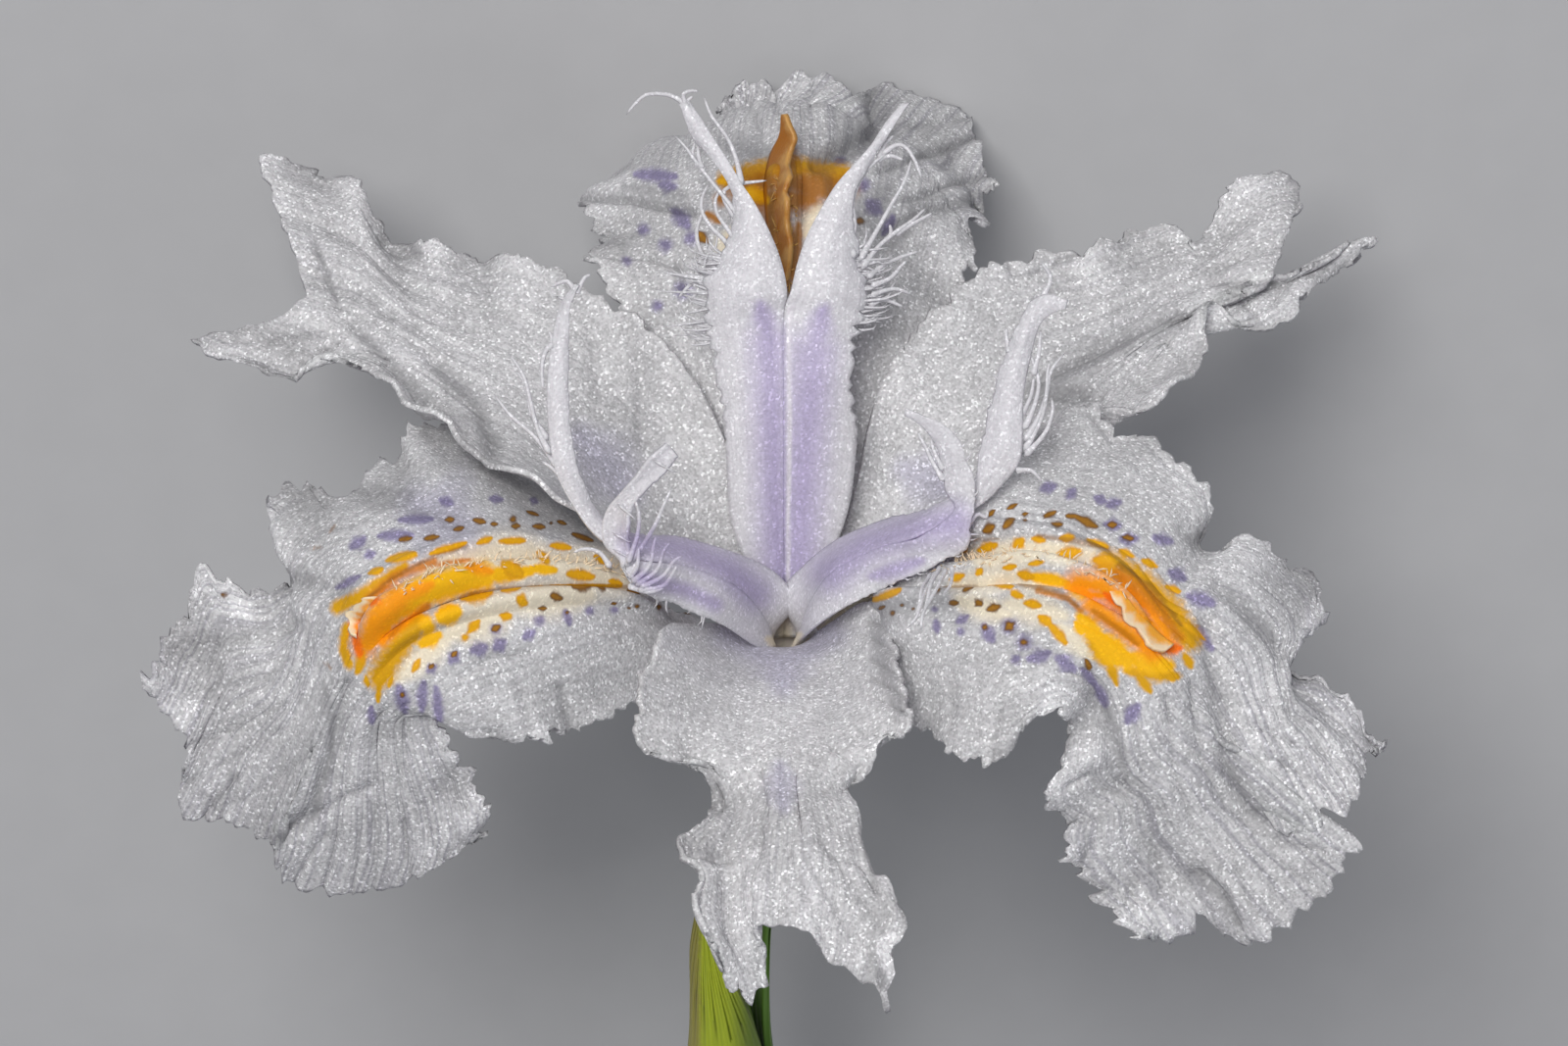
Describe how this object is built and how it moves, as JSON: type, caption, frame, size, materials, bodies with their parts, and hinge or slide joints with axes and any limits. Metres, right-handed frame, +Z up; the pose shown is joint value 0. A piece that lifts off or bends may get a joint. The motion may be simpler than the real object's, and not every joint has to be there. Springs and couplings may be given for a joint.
{
  "type": "fringed iris flower",
  "caption": "Cut fringed iris bloom on a short stem, with frilled pale petals, crested orange-marked falls, fringed style arms and papery green bracts, lying on its back petal.",
  "frame": {"origin": "centre of the bounding box's bottom face, on the surface that the flower lies on", "axes": "+Z up; +Y from the cut end of the stem towards the bloom; +X to the bloom's right as seen from above"},
  "size_m": [0.0506, 0.0926, 0.0448],
  "materials": {
    "fall_petal": "thin crystalline petal with orange crest, brown and violet spots",
    "standard_petal": "thin crystalline petal, pale lavender white",
    "style_arm": "soft petal, white with violet edges",
    "stamen": "matt cream",
    "tube": "smooth greenish white",
    "outer_bract": "papery yellow green with a brownish edge",
    "inner_bract": "papery dark green",
    "stem_green": "smooth green stalk, satin"
  },
  "bodies": {
    "root": {"fall_left": "fall_petal", "fall_right": "fall_petal", "fall_back": "fall_petal", "standard_left": "standard_petal", "standard_right": "standard_petal", "standard_front": "standard_petal", "style_left": "style_arm", "style_right": "style_arm", "style_back": "style_arm", "stamen_left": "stamen", "stamen_right": "stamen", "stamen_back": "stamen", "perianth_tube": "tube", "ovary": "stem_green", "spathe_outer": "outer_bract", "spathe_inner": "inner_bract", "stem": "stem_green"}
  },
  "joints": []
}
